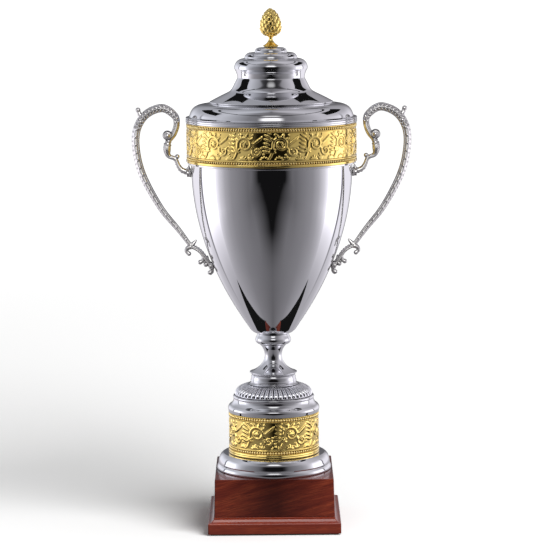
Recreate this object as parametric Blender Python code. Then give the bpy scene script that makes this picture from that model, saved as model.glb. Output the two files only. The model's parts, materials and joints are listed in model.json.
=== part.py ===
"""Two-handled presentation cup: a lidded chromed bowl on a stem, drum and hardwood plinth.

Outlines are in millimetres: (radius, height) pairs, with heights counted from the
underside of the piece. Every piece is placed by its location, and the scene is in metres.
+Z is up and the origin is the centre of the underside.
"""

import math

import bmesh
import bpy
from mathutils import Matrix, Vector

MM = 0.001
GAP = 0.3
WALL = 1.2

# Heights of the stack, from the table up.
FELT_TOP = 1.5
BOARD_BOTTOM = FELT_TOP + GAP
BOARD_TOP = 20.4
BLOCK_BOTTOM = BOARD_TOP + GAP
BLOCK_TOP = 64.9
FOOT_BOTTOM = BLOCK_TOP + GAP
FOOT_TOP = 84.7
DRUM_BOTTOM = FOOT_TOP + GAP
DRUM_TOP = 133.8
CAP_BOTTOM = DRUM_TOP + GAP
CAP_TOP = 153.7
GADROON_BOTTOM = CAP_TOP + GAP
GADROON_TOP = 166.2
NECK_BOTTOM = GADROON_TOP + GAP
NECK_TOP = 177.9
STEM_BOTTOM = NECK_TOP + GAP
STEM_TOP = 214.2
KNOP_BOTTOM = STEM_TOP + GAP
KNOP_TOP = 226.9
BOWL_BOTTOM = KNOP_TOP + GAP
BAND_BOTTOM = 431.4
BAND_TOP = 476.7
RIM_RING_BOTTOM = BAND_TOP + GAP
RIM_TOP = 482.0
LID_BOTTOM = RIM_TOP + GAP
LID_SEAM = 500.1
CROWN_BOTTOM = LID_SEAM + GAP
CROWN_TOP = 564.0
FINIAL_BOTTOM = CROWN_TOP + GAP
FINIAL_TOP = 610.0

# Widths.
BOARD_HALF = 77.7
BLOCK_HALF_BOTTOM = 70.4
BLOCK_HALF_TOP = 69.4
BOWL_WALL_RADIUS = 98.2
BAND_RADIUS = 100.0
DRUM_RADIUS = 52.2
LOWER_BAND_RADIUS = 53.5
LID_BRIM_RADIUS = 99.9
HANDLE_DEPTH = 0.9

# The tie rod, from the board's recess to the bowl's floor, with a nut and a washer at each end.
ROD_RADIUS = 3.9
ROD_HOLE = 4.3
ROD_BOTTOM = 3.0
ROD_END_IN_BOWL = 13.0
RECESS_RADIUS = 12.0
RECESS_DEPTH = 10.8
BOWL_FLOOR = 1.6
NUT_RADIUS = 7.5
NUT_THICKNESS = 6.5
ROD_WASHER_RADIUS = 10.0
ROD_WASHER_THICKNESS = 1.5

# The small screws and washers of the handles and the finial.
SCREW_RADIUS = 1.9
SCREW_HOLE = 2.3
SCREW_THREAD_HOLE = 2.2
THREAD_END = 0.8
SMALL_WASHER_RADIUS = 4.4
SMALL_WASHER_THICKNESS = 0.8
SMALL_WASHER_SEAT = WALL + 2 * GAP
FINIAL_SCREW_RADIUS = 1.5
FINIAL_SCREW_HOLE = 1.8
FINIAL_SCREW_REACH = 5.4
FINIAL_WASHER_RADIUS = 6.0
FINIAL_HEAD_HEIGHT = 2.2

# The sleeve under the lid: how deep it reaches into the bowl, and its play there.
SLEEVE_DEPTH = 8.0
SLEEVE_PLAY = 0.6

# Heights at which the handles are screwed to the bowl.
UPPER_FIXING = 418.0
LOWER_FIXING = 309.0

# The bowl's side as a cubic curve: two ends and two handles, heights from the bowl's underside.
BOWL_SIDE = ((27.2, 5.8), (35.0, 18.5), (95.3, 95.9), (94.5, BAND_BOTTOM - BOWL_BOTTOM - 3.0))

# Facets round each turned piece, and along its curves.
LARGE_SIDES = 32
MEDIUM_SIDES = 24
SMALL_SIDES = 12
FASTENER_SIDES = 8
BOW_SIDES = 8
LIMB_SIDES = 6
PATH_STEPS = 2
CURVE_STEP = 24.0
LEAST_CURVE_STEPS = 4
ARC_STEP = math.radians(45)

# How far a cutter runs past the face that it cuts.
CUTTER_REACH = 2.0


def clear_scene():
    for item in list(bpy.data.objects):
        bpy.data.objects.remove(item, do_unlink=True)


def make_material(name, colour, roughness, metallic):
    material = bpy.data.materials.new(name)
    material.use_nodes = True
    shader = material.node_tree.nodes["Principled BSDF"]
    shader.inputs["Base Color"].default_value = (*colour, 1.0)
    shader.inputs["Roughness"].default_value = roughness
    shader.inputs["Metallic"].default_value = metallic
    material.diffuse_color = (*colour, 1.0)
    return material


def chrome(name):
    return make_material(name + "_chrome", (0.80, 0.80, 0.83), 0.06, 1.0)


def gold(name):
    return make_material(name + "_gold", (0.86, 0.62, 0.18), 0.16, 1.0)


def cast_silver(name):
    return make_material(name + "_cast_silver", (0.78, 0.77, 0.76), 0.22, 1.0)


def mahogany(name):
    return make_material(name + "_mahogany", (0.30, 0.055, 0.030), 0.18, 0.0)


def steel(name):
    return make_material(name + "_steel", (0.55, 0.56, 0.58), 0.32, 1.0)


def felt(name):
    return make_material(name + "_felt", (0.03, 0.06, 0.04), 0.95, 0.0)


def arc_points(start, end, bulge):
    """Points after start on an arc to end; bulge is the tangent of a quarter of its angle."""
    angle = 4 * math.atan(bulge)
    steps = max(2, math.ceil(abs(angle) / ARC_STEP))
    chord = end - start
    centre = (start + end) / 2 + Vector((-chord.y, chord.x)) * (1 - bulge**2) / (4 * bulge)
    spoke = start - centre
    turns = (Matrix.Rotation(angle * step / steps, 2) for step in range(1, steps))
    return [centre + turn @ spoke for turn in turns] + [end]


def bezier_points(start, pull, push, end):
    """Points after start on a cubic curve to end."""
    steps = max(LEAST_CURVE_STEPS, round((end - start).length / CURVE_STEP))
    points = []
    for step in range(1, steps + 1):
        t = step / steps
        s = 1 - t
        points.append(s**3 * start + 3 * s * s * t * pull + 3 * s * t * t * push + t**3 * end)
    return points


def trace(*marks):
    """Turns marks into the points of an outline.

    A mark is a corner (x, y), an arc to a corner (x, y, bulge), or a cubic curve to a
    corner ((x, y) of its two handles, then x, y).
    """
    points = []
    for mark in marks:
        end = Vector(mark[-2:]) if isinstance(mark[0], tuple) else Vector(mark[:2])
        if isinstance(mark[0], tuple):
            points += bezier_points(points[-1], Vector(mark[0]), Vector(mark[1]), end)
        elif len(mark) == 3:
            points += arc_points(points[-1], end, mark[2])
        else:
            points.append(end)
    return points


def new_object(name, mesh_builder, material, height=0.0):
    """Links a finished bmesh, in millimetres, as an object standing at that height."""
    mesh = bpy.data.meshes.new(name)
    bmesh.ops.scale(mesh_builder, vec=(MM, MM, MM), verts=mesh_builder.verts)
    mesh_builder.to_mesh(mesh)
    mesh_builder.free()
    mesh.materials.append(material)
    item = bpy.data.objects.new(name, mesh)
    item.location.z = height * MM
    bpy.context.scene.collection.objects.link(item)
    return item


def smooth(item, sharp_angle=40):
    item.data.shade_smooth()
    item.data.set_sharp_from_angle(angle=math.radians(sharp_angle))


def spin_outline(points, sides, closed=True):
    """A solid of revolution about Z. An outline that is not closed starts and ends on Z."""
    builder = bmesh.new()
    corners = [builder.verts.new((point.x, 0.0, point.y)) for point in points]
    for first, second in zip(corners, corners[1:]):
        builder.edges.new((first, second))
    if closed:
        builder.edges.new((corners[-1], corners[0]))
    bmesh.ops.spin(
        builder,
        geom=builder.verts[:] + builder.edges[:],
        cent=(0, 0, 0),
        axis=(0, 0, 1),
        angle=math.tau,
        steps=sides,
        use_merge=True,
    )
    bmesh.ops.remove_doubles(builder, verts=builder.verts, dist=1e-4)
    bmesh.ops.recalc_face_normals(builder, faces=builder.faces)
    return builder


def turned(name, marks, sides, material, height, closed=True):
    item = new_object(name, spin_outline(trace(*marks), sides, closed), material, height)
    smooth(item)
    return item


def square_tower(name, levels, material, height):
    """A solid of square sections: (half width, height) pairs from the bottom up."""
    builder = bmesh.new()
    rings = []
    for half, z in levels:
        corners = [(-half, -half), (half, -half), (half, half), (-half, half)]
        rings.append([builder.verts.new((x, y, z)) for x, y in corners])
    for lower, upper in zip(rings, rings[1:]):
        for side in range(4):
            following = (side + 1) % 4
            builder.faces.new((lower[side], lower[following], upper[following], upper[side]))
    builder.faces.new(reversed(rings[0]))
    builder.faces.new(rings[-1])
    return new_object(name, builder, material, height)


def rod_along(start, direction, radius, length, sides):
    """A cylinder of a bmesh, in millimetres, from start along direction."""
    builder = bmesh.new()
    turn = direction.to_track_quat("Z", "Y").to_matrix().to_4x4()
    place = Matrix.Translation(start + direction * length / 2) @ turn
    bmesh.ops.create_cone(
        builder,
        cap_ends=True,
        segments=sides,
        radius1=radius,
        radius2=radius,
        depth=length,
        matrix=place,
    )
    return builder


def combine(item, tool_builders, operation):
    """Adds or cuts each tool, then keeps the result as the object's own mesh."""
    for number, builder in enumerate(tool_builders):
        tool = new_object(f"{item.name}_tool_{number}", builder, item.data.materials[0])
        tool.hide_render = True
        tool.display_type = "WIRE"
        modifier = item.modifiers.new("combine", "BOOLEAN")
        modifier.operation = operation
        modifier.solver = "EXACT"
        modifier.object = tool
        graph = bpy.context.evaluated_depsgraph_get()
        result = bpy.data.meshes.new_from_object(item.evaluated_get(graph), depsgraph=graph)
        item.modifiers.remove(modifier)
        item.data = result
        bpy.data.objects.remove(tool, do_unlink=True)
    result = bmesh.new()
    result.from_mesh(item.data)
    bmesh.ops.remove_doubles(result, verts=result.verts, dist=1e-6)
    bmesh.ops.dissolve_degenerate(result, edges=result.edges, dist=1e-6)
    result.to_mesh(item.data)
    result.free()
    return item


def upright_hole(radius, low, high):
    return rod_along(Vector((0, 0, low)), Vector((0, 0, 1)), radius, high - low, SMALL_SIDES)


# ---------------------------------------------------------------- plinth


def make_felt_pad():
    """Pad a little smaller than the board, so that its edge doesn't show."""
    half = BOARD_HALF - 3.0
    levels = [(half, 0), (half, FELT_TOP)]
    return square_tower("felt_pad", levels, felt("pad"), 0)


def make_plinth_board():
    """Moulded lower board, counterbored from below for the base nut."""
    thickness = BOARD_TOP - BOARD_BOTTOM
    levels = [
        (BOARD_HALF, 0),
        (BOARD_HALF, 11.2),
        (76.2, 12.5),
        (72.6, 14.6),
        (71.2, 16.2),
        (71.0, thickness),
    ]
    item = square_tower("plinth_board", levels, mahogany("board"), BOARD_BOTTOM)
    lowest = BOARD_BOTTOM - CUTTER_REACH
    recess = upright_hole(RECESS_RADIUS, lowest, BOARD_BOTTOM + RECESS_DEPTH)
    bore = upright_hole(ROD_HOLE, lowest, BOARD_TOP + CUTTER_REACH)
    return combine(item, [recess, bore], "DIFFERENCE")


def make_plinth_block():
    thickness = BLOCK_TOP - BLOCK_BOTTOM
    levels = [(BLOCK_HALF_BOTTOM, 0), (BLOCK_HALF_TOP, thickness)]
    item = square_tower("plinth_block", levels, mahogany("block"), BLOCK_BOTTOM)
    bore = upright_hole(ROD_HOLE, BLOCK_BOTTOM - CUTTER_REACH, BLOCK_TOP + CUTTER_REACH)
    return combine(item, [bore], "DIFFERENCE")


# ---------------------------------------------------------------- foot and drum


def make_foot_ring():
    """Spun shoulder that spreads the drum onto the block, with a rolled lip."""
    top = FOOT_TOP - FOOT_BOTTOM
    marks = [
        (67.6, 0),
        (67.9, 1.6),
        (66.6, 5.8, 0.12),
        (65.8, 6.7),
        (66.2, 8.0),
        ((65.8, 12.5), (64.6, 17.6), 60.0, top),
        (ROD_HOLE, top),
        (ROD_HOLE, top - WALL),
        (59.6, top - WALL),
        (63.6, 13.0),
        (64.4, 6.7),
        (66.0, 0),
    ]
    return turned("foot_ring", marks, LARGE_SIDES, chrome("foot"), FOOT_BOTTOM)


def make_drum():
    """Plain tube that carries the lower gold band."""
    height = DRUM_TOP - DRUM_BOTTOM
    inner = DRUM_RADIUS - WALL
    marks = [(DRUM_RADIUS, 0), (DRUM_RADIUS, height), (inner, height), (inner, 0)]
    return turned("drum", marks, LARGE_SIDES, chrome("drum"), DRUM_BOTTOM)


def band_marks(inner, outer, height, lip):
    """Strip with a convex lower lip, a sunk field for the ornament and a raised top edge."""
    field = outer - 0.5
    return [
        (inner, 0),
        (outer, 0.6),
        (outer + 0.3, lip / 2),
        (outer, lip),
        (field, lip + 1.0),
        (field, height - 3.4),
        (outer, height - 2.6),
        (outer, height),
        (inner, height),
    ]


def make_lower_gold_band():
    height = DRUM_TOP - DRUM_BOTTOM
    marks = band_marks(DRUM_RADIUS + GAP, LOWER_BAND_RADIUS, height, 7.0)
    return turned("lower_gold_band", marks, LARGE_SIDES, gold("lower_band"), DRUM_BOTTOM)


def make_drum_cap():
    """Stepped cover of the drum: rounded shoulder, cavetto and a bead."""
    top = CAP_TOP - CAP_BOTTOM
    marks = [
        (53.5, 0),
        (54.2, 3.6),
        (51.2, 8.8, 0.32),
        (47.3, 15.8, -0.22),
        (47.0, top, 0.5),
        (ROD_HOLE, top),
        (ROD_HOLE, top - WALL),
        (45.6, top - WALL),
        (45.9, 15.4),
        (49.8, 7.8),
        (52.8, 3.4),
        (52.2, 0),
    ]
    return turned("drum_cap", marks, LARGE_SIDES, chrome("drum_cap"), CAP_BOTTOM)


def make_gadroon_dome():
    """Low dome that carries the ring of lobes."""
    top = GADROON_TOP - GADROON_BOTTOM
    marks = [
        (45.6, 0),
        (46.2, 1.2),
        ((45.0, 7.4), (39.0, 11.2), 30.0, top),
        (ROD_HOLE, top),
        (ROD_HOLE, top - WALL),
        (30.0, top - WALL),
        (40.0, 7.6),
        (44.2, 0),
    ]
    return turned("gadroon_dome", marks, LARGE_SIDES, chrome("gadroon"), GADROON_BOTTOM)


# ---------------------------------------------------------------- stem


def make_neck_ring():
    """Waisted ring between the gadroons and the stem."""
    top = NECK_TOP - NECK_BOTTOM
    marks = [
        (29.2, 0),
        (29.8, 1.0),
        (26.6, 2.8, -0.2),
        (26.9, 5.2, 0.3),
        (26.3, 9.2, -0.12),
        (25.4, top),
        (ROD_HOLE, top),
        (ROD_HOLE, 0),
    ]
    return turned("neck_ring", marks, MEDIUM_SIDES, chrome("neck"), NECK_BOTTOM)


def make_stem():
    """Turned stem: a sharp-edged disc that sweeps up to a waist and flares again."""
    top = STEM_TOP - STEM_BOTTOM
    marks = [
        (25.4, 0),
        (28.0, 2.5),
        (28.0, 3.2),
        ((17.0, 6.5), (10.1, 14.5), 10.1, 22.4),
        ((10.1, 28.5), (13.0, 33.5), 16.2, top),
        (ROD_HOLE, top),
        (ROD_HOLE, 0),
    ]
    return turned("stem", marks, MEDIUM_SIDES, chrome("stem"), STEM_BOTTOM)


def make_knop():
    """Rounded collar between the stem and the bowl."""
    top = KNOP_TOP - KNOP_BOTTOM
    marks = [
        (16.4, 0),
        (21.2, 5.0, 0.35),
        ((21.2, 8.0), (19.2, 9.0), 18.4, top),
        (ROD_HOLE, top),
        (ROD_HOLE, 0),
    ]
    return turned("stem_knop", marks, MEDIUM_SIDES, chrome("knop"), KNOP_BOTTOM)


# ---------------------------------------------------------------- bowl


def bowl_marks():
    """Egg-shaped spun shell, a ledge under the gold band and a straight wall above it."""
    band = BAND_BOTTOM - BOWL_BOTTOM
    rim = RIM_TOP - BOWL_BOTTOM
    inner = BOWL_WALL_RADIUS - WALL
    return [
        (ROD_HOLE, 0),
        (18.5, 0),
        (*BOWL_SIDE[0], 0.18),
        (*BOWL_SIDE[1:3], *BOWL_SIDE[3]),
        (98.6, band - 2.2),
        (98.6, band - GAP),
        (BOWL_WALL_RADIUS, band - GAP),
        (BOWL_WALL_RADIUS, rim),
        (inner, rim),
        (inner, band - 0.8),
        (93.2, band - 2.4),
        ((94.1, 96.2), (33.9, 19.3), 25.6, 6.9),
        (17.5, BOWL_FLOOR),
        (ROD_HOLE, BOWL_FLOOR),
    ]


def fixing_line(height, side):
    """Wall point and outward direction at a height of the bowl, on its side +1 or -1."""
    wall = bezier_points(*[Vector(point) for point in BOWL_SIDE])
    for below, above in zip(wall, wall[1:]):
        if above.y >= height - BOWL_BOTTOM:
            break
    share = (height - BOWL_BOTTOM - below.y) / (above.y - below.y)
    radius = below.x + share * (above.x - below.x)
    run = (above - below).normalized()
    return Vector((side * radius, 0, height)), Vector((side * run.y, 0, -run.x))


def fixing_hole(fixing, side):
    wall, direction = fixing_line(fixing, side)
    reach = WALL + 2 * CUTTER_REACH
    return rod_along(wall - direction * reach, direction, SCREW_HOLE, 2 * reach, SMALL_SIDES)


def make_bowl():
    item = turned("bowl", bowl_marks(), LARGE_SIDES, chrome("bowl"), BOWL_BOTTOM)
    holes = [fixing_hole(f, side) for f in (UPPER_FIXING, LOWER_FIXING) for side in (1, -1)]
    combine(item, holes, "DIFFERENCE")
    smooth(item)
    return item


def make_rim_ring():
    """Silver-coloured strip round the bowl's rim, above the gold band."""
    height = RIM_TOP - RIM_RING_BOTTOM
    inner = BOWL_WALL_RADIUS + GAP
    marks = [
        (inner, 0),
        (99.8, 0),
        (100.2, height / 2),
        (99.8, height),
        (inner, height),
    ]
    return turned("bowl_rim_ring", marks, LARGE_SIDES, chrome("rim"), RIM_RING_BOTTOM)


def make_upper_gold_band():
    height = BAND_TOP - BAND_BOTTOM
    marks = band_marks(BOWL_WALL_RADIUS + GAP, BAND_RADIUS, height, 3.0)
    return turned("upper_gold_band", marks, LARGE_SIDES, gold("upper_band"), BAND_BOTTOM)


# ---------------------------------------------------------------- lid


def make_lid_dome():
    """Lower part of the lid: a flat brim on the rim and a convex shoulder."""
    seam = LID_SEAM - LID_BOTTOM
    marks = [
        (94.4, 0),
        (LID_BRIM_RADIUS, 0),
        (LID_BRIM_RADIUS, 1.2, 0.7),
        (96.3, 2.0),
        ((92.0, 19.8), (79.0, 14.8), 72.4, seam),
        (58.0, seam),
        (58.0, seam - WALL),
        (71.6, seam - WALL),
        ((78.8, 13.2), (90.6, 18.4), 94.4, 2.4),
    ]
    return turned("lid_dome", marks, LARGE_SIDES, chrome("lid_dome"), LID_BOTTOM)


def make_lid_crown():
    """Upper part of the lid: a flare, a waist, a bulb and two stepped rounds."""
    top = CROWN_TOP - CROWN_BOTTOM
    marks = [
        (72.3, 0),
        (72.3, 0.9),
        ((41.9, 17.8), (50.4, 7.7), 39.3, 28.8),
        (42.9, 39.3, -0.12),
        (34.0, 50.9, 0.4),
        (31.0, 51.4),
        (30.8, 52.9),
        (23.0, 57.9, 0.36),
        (18.9, 58.2),
        (18.7, 60.0),
        (13.0, top, 0.36),
        (3.0, top),
        (3.0, top - WALL),
        (12.0, top - WALL),
        (17.0, 56.8),
        (33.0, 49.4),
        (41.4, 39.0),
        (37.8, 28.6),
        (42.0, 16.2),
        (52.0, 7.4),
        (69.0, 0),
    ]
    return turned("lid_crown", marks, LARGE_SIDES, chrome("lid_crown"), CROWN_BOTTOM)


def make_locating_ring():
    """Sleeve under the brim that centres the lid inside the bowl's wall."""
    outer = BOWL_WALL_RADIUS - WALL - SLEEVE_PLAY
    inner = outer - WALL
    marks = [(outer, 0), (outer, SLEEVE_DEPTH), (inner, SLEEVE_DEPTH), (inner, 0)]
    height = RIM_TOP - SLEEVE_DEPTH
    return turned("lid_locating_ring", marks, LARGE_SIDES, chrome("locating_ring"), height)


def make_finial():
    """Cone on a flared foot, with a blind threaded hole for the screw."""
    top = FINIAL_TOP - FINIAL_BOTTOM
    marks = [
        (0, 6.0),
        (FINIAL_SCREW_HOLE, 6.0),
        (FINIAL_SCREW_HOLE, 0),
        (7.4, 0),
        (8.8, 2.0),
        ((4.6, 4.0), (2.2, 7.0), 2.2, 11.2),
        (4.6, 13.6),
        (11.4, 17.4),
        (12.8, 23.6),
        ((12.8, 32.0), (8.4, 41.0), 3.4, top - 0.8),
        (0, top),
    ]
    return turned("finial", marks, SMALL_SIDES, gold("finial"), FINIAL_BOTTOM, closed=False)


# ---------------------------------------------------------------- handles


def smooth_path(points, steps):
    """Catmull-Rom curve through the points; each is x, z and the local half width."""
    knots = [Vector(point) for point in points]
    knots = [2 * knots[0] - knots[1], *knots, 2 * knots[-1] - knots[-2]]
    path = []
    for before, start, end, after in zip(knots, knots[1:], knots[2:], knots[3:]):
        for step in range(steps):
            t = step / steps
            bend = 2 * before - 5 * start + 4 * end - after
            twist = 3 * start - before - 3 * end + after
            path.append((2 * start + (end - before) * t + bend * t * t + twist * t**3) / 2)
    path.append(knots[-2])
    return path


def swept_bar(points, sides):
    """A bar in the XZ plane along a smooth path, its width and depth following the points."""
    path = smooth_path(points, PATH_STEPS)
    builder = bmesh.new()
    rings = []
    for number, point in enumerate(path):
        ahead = path[min(number + 1, len(path) - 1)]
        behind = path[max(number - 1, 0)]
        tangent = Vector((ahead.x - behind.x, ahead.y - behind.y)).normalized()
        across = Vector((-tangent.y, 0, tangent.x))
        centre = Vector((point.x, 0, point.y))
        ring = []
        for side in range(sides):
            angle = math.tau * side / sides
            offset = across * math.cos(angle) * point.z
            depth = math.sin(angle) * point.z * HANDLE_DEPTH
            ring.append(builder.verts.new(centre + offset + Vector((0, depth, 0))))
        rings.append(ring)
    for first, second in zip(rings, rings[1:]):
        for side in range(sides):
            following = (side + 1) % sides
            builder.faces.new((first[side], first[following], second[following], second[side]))
    builder.faces.new(reversed(rings[0]))
    builder.faces.new(rings[-1])
    bmesh.ops.recalc_face_normals(builder, faces=builder.faces)
    return builder


def ball(x, z, radius):
    builder = bmesh.new()
    place = Matrix.Translation((x, 0, z)) @ Matrix.Scale(HANDLE_DEPTH, 4, (0, 1, 0))
    bmesh.ops.create_icosphere(builder, subdivisions=1, radius=radius, matrix=place)
    return builder


# Each handle path runs along the casting's middle: distance from the cup's axis, height,
# half width.
BOW = [
    (120.6, 455.5, 2.8),
    (114.6, 464.0, 3.6),
    (111.0, 475.0, 3.6),
    (113.4, 485.4, 4.2),
    (128.0, 494.3, 4.9),
    (147.0, 486.6, 4.8),
    (158.0, 468.6, 4.7),
    (158.8, 444.0, 4.5),
    (150.9, 414.0, 4.4),
    (131.0, 377.0, 3.8),
    (110.4, 351.0, 3.1),
    (95.8, 331.2, 2.4),
]
ARM = [
    (120.6, 457.0, 2.8),
    (122.6, 447.2, 4.5),
    (121.0, 438.4, 3.0),
    (113.0, 434.4, 2.4),
    (109.6, 427.0, 2.6),
    (105.6, 421.6, 3.0),
    (98.0, 418.6, 3.2),
]
SCROLL = [
    (96.0, 331.0, 2.4),
    (90.0, 328.6, 2.5),
    (84.6, 324.4, 2.5),
    (80.4, 318.6, 2.6),
    (77.2, 313.4, 2.7),
    (73.6, 309.4, 2.6),
]
TAIL = [(73.6, 309.4, 2.5), (71.6, 305.0, 2.3), (70.8, 301.2, 2.1), (72.4, 298.6, 1.8)]
CURL = [(80.8, 318.2, 2.0), (81.8, 314.0, 1.7), (84.6, 311.8, 1.6)]
LEAF_UP = [(95.4, 332.0, 2.2), (92.4, 335.2, 1.7), (89.6, 338.2, 0.9)]
LEAF_OUT = [(95.8, 330.6, 2.2), (100.4, 329.4, 1.7), (102.4, 325.6, 1.4), (98.6, 321.6, 1.4)]
LEAF_WALL = [(76.4, 312.4, 1.9), (75.8, 316.2, 1.2), (76.0, 319.4, 0.8)]
LEAF_ARM = [(99.4, 420.4, 2.0), (97.4, 423.6, 1.3), (96.8, 426.4, 0.8)]
CUSP = [(152.2, 482.6, 2.6), (155.2, 489.2, 1.6), (156.4, 492.6, 1.4)]
LIMBS = (ARM, SCROLL, TAIL, CURL, LEAF_UP, LEAF_OUT, LEAF_WALL, LEAF_ARM, CUSP)
HANDLE_BALLS = [
    (121.9, 462.2, 5.8),
    (156.6, 493.0, 2.3),
    (110.8, 437.2, 2.2),
    (85.2, 312.0, 2.2),
    (78.3, 309.0, 2.2),
    (97.9, 321.4, 2.1),
    (73.8, 299.2, 1.9),
]
UPPER_BOSS = (4.6, 5.4)
LOWER_BOSS = (4.0, 5.0)


def fixing_boss(fixing, size):
    """Pad that stands on the bowl's wall; size is its radius and its length."""
    radius, length = size
    wall, direction = fixing_line(fixing, 1)
    return rod_along(wall + direction * GAP, direction, radius, length, SMALL_SIDES)


def thread_hole(fixing, size):
    wall, direction = fixing_line(fixing, 1)
    start = wall - direction * CUTTER_REACH
    length = CUTTER_REACH + size[1] - THREAD_END / 2
    return rod_along(start, direction, SCREW_THREAD_HOLE, length, SMALL_SIDES)


def make_handles():
    """One casting for both sides; the second is the first turned half round the cup."""
    right = new_object("handle_right", swept_bar(BOW, BOW_SIDES), cast_silver("handle"))
    bars = [swept_bar(path, LIMB_SIDES) for path in LIMBS]
    balls = [ball(*place) for place in HANDLE_BALLS]
    bosses = [fixing_boss(UPPER_FIXING, UPPER_BOSS), fixing_boss(LOWER_FIXING, LOWER_BOSS)]
    threads = [thread_hole(UPPER_FIXING, UPPER_BOSS), thread_hole(LOWER_FIXING, LOWER_BOSS)]
    combine(right, bars + balls + bosses, "UNION")
    combine(right, threads, "DIFFERENCE")
    smooth(right)
    left = bpy.data.objects.new("handle_left", right.data)
    left.rotation_euler.z = math.pi
    bpy.context.scene.collection.objects.link(left)


# ---------------------------------------------------------------- fasteners


def washer(name, inner, outer, thickness, height):
    """Flat ring standing at that height."""
    marks = [(outer, 0), (outer, thickness), (inner, thickness), (inner, 0)]
    return turned(name, marks, FASTENER_SIDES, steel(name), height)


def hexagon(builder, threshold):
    """Pulls everything outside threshold onto a hexagon, for the flats of a nut."""
    sixth = math.tau / 6
    for corner in builder.verts:
        flat = Vector((corner.co.x, corner.co.y))
        if flat.length > threshold:
            turn = math.atan2(flat.y, flat.x) % sixth - sixth / 2
            flat *= math.cos(sixth / 2) / math.cos(turn)
            corner.co.x, corner.co.y = flat


def nut(name, height):
    marks = [
        (NUT_RADIUS, 0),
        (NUT_RADIUS, NUT_THICKNESS),
        (ROD_HOLE, NUT_THICKNESS),
        (ROD_HOLE, 0),
    ]
    builder = spin_outline(trace(*marks), SMALL_SIDES)
    hexagon(builder, (ROD_HOLE + NUT_RADIUS) / 2)
    return new_object(name, builder, steel(name), height)


def along_fixing(item, start, direction):
    item.location = start * MM
    item.rotation_mode = "QUATERNION"
    item.rotation_quaternion = direction.to_track_quat("Z", "Y")


def make_handle_fixings():
    """A pan-head screw and a washer inside the bowl for each end of each handle."""
    fixings = (("upper", UPPER_FIXING, UPPER_BOSS), ("lower", LOWER_FIXING, LOWER_BOSS))
    under_washer = -(SMALL_WASHER_SEAT + SMALL_WASHER_THICKNESS)
    under_head = under_washer - GAP
    for level, fixing, boss in fixings:
        for side_name, side in (("right", 1), ("left", -1)):
            wall, direction = fixing_line(fixing, side)
            name = f"handle_washer_{side_name}_{level}"
            ring = washer(name, SCREW_HOLE, SMALL_WASHER_RADIUS, SMALL_WASHER_THICKNESS, 0)
            along_fixing(ring, wall + direction * under_washer, direction)
            tip = boss[1] - 2 * THREAD_END
            marks = [
                (0, under_head - 2.4),
                (2.8, under_head - 2.4),
                (3.6, under_head - 1.4),
                (3.6, under_head),
                (SCREW_RADIUS, under_head),
                (SCREW_RADIUS, tip),
                (0, tip),
            ]
            name = f"handle_screw_{side_name}_{level}"
            screw = turned(name, marks, FASTENER_SIDES, steel(name), 0, closed=False)
            along_fixing(screw, wall, direction)


def make_tie_rod():
    length = BOWL_BOTTOM + ROD_END_IN_BOWL - ROD_BOTTOM
    builder = rod_along(Vector((0, 0, 0)), Vector((0, 0, 1)), ROD_RADIUS, length, SMALL_SIDES)
    item = new_object("tie_rod", builder, steel("tie_rod"), ROD_BOTTOM)
    smooth(item)


def make_rod_fasteners():
    """A washer and a nut on the bowl's floor, and the same pair in the board's recess."""
    size = (ROD_HOLE, ROD_WASHER_RADIUS, ROD_WASHER_THICKNESS)
    floor = BOWL_BOTTOM + BOWL_FLOOR + GAP
    washer("bowl_washer", *size, floor)
    nut("bowl_nut", floor + ROD_WASHER_THICKNESS + GAP)
    under_recess = BOARD_BOTTOM + RECESS_DEPTH - GAP - ROD_WASHER_THICKNESS
    washer("base_washer", *size, under_recess)
    nut("base_nut", under_recess - GAP - NUT_THICKNESS)


def make_finial_fixing():
    """Washer and round-headed screw under the crown's top, up into the finial."""
    washer_bottom = CROWN_TOP - WALL - GAP - SMALL_WASHER_THICKNESS
    size = (FINIAL_SCREW_HOLE, FINIAL_WASHER_RADIUS, SMALL_WASHER_THICKNESS)
    washer("finial_washer", *size, washer_bottom)
    screw_bottom = washer_bottom - GAP - FINIAL_HEAD_HEIGHT
    tip = FINIAL_BOTTOM + FINIAL_SCREW_REACH - screw_bottom
    marks = [
        (0, 0),
        (2.4, 0),
        (3.2, 0.9),
        (3.2, FINIAL_HEAD_HEIGHT),
        (FINIAL_SCREW_RADIUS, FINIAL_HEAD_HEIGHT),
        (FINIAL_SCREW_RADIUS, tip),
        (0, tip),
    ]
    turned("finial_screw", marks, FASTENER_SIDES, steel("finial_screw"), screw_bottom, closed=False)


def build():
    clear_scene()
    make_felt_pad()
    make_plinth_board()
    make_plinth_block()
    make_foot_ring()
    make_drum()
    make_lower_gold_band()
    make_drum_cap()
    make_gadroon_dome()
    make_neck_ring()
    make_stem()
    make_knop()
    make_bowl()
    make_upper_gold_band()
    make_rim_ring()
    make_lid_dome()
    make_lid_crown()
    make_locating_ring()
    make_finial()
    make_handles()
    make_handle_fixings()
    make_tie_rod()
    make_rod_fasteners()
    make_finial_fixing()


build()
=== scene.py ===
"""The looks of a two-handled, lidded presentation cup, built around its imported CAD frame.

Shapes are drawn in millimetres and put into the scene in metres. Turned pieces are outlines spun round the
cup's axis, and stand at the heights of the CAD nodes that they replace.
"""

import json
import math

import bpy
import numpy as np
from mathutils import Matrix, Vector

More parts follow.
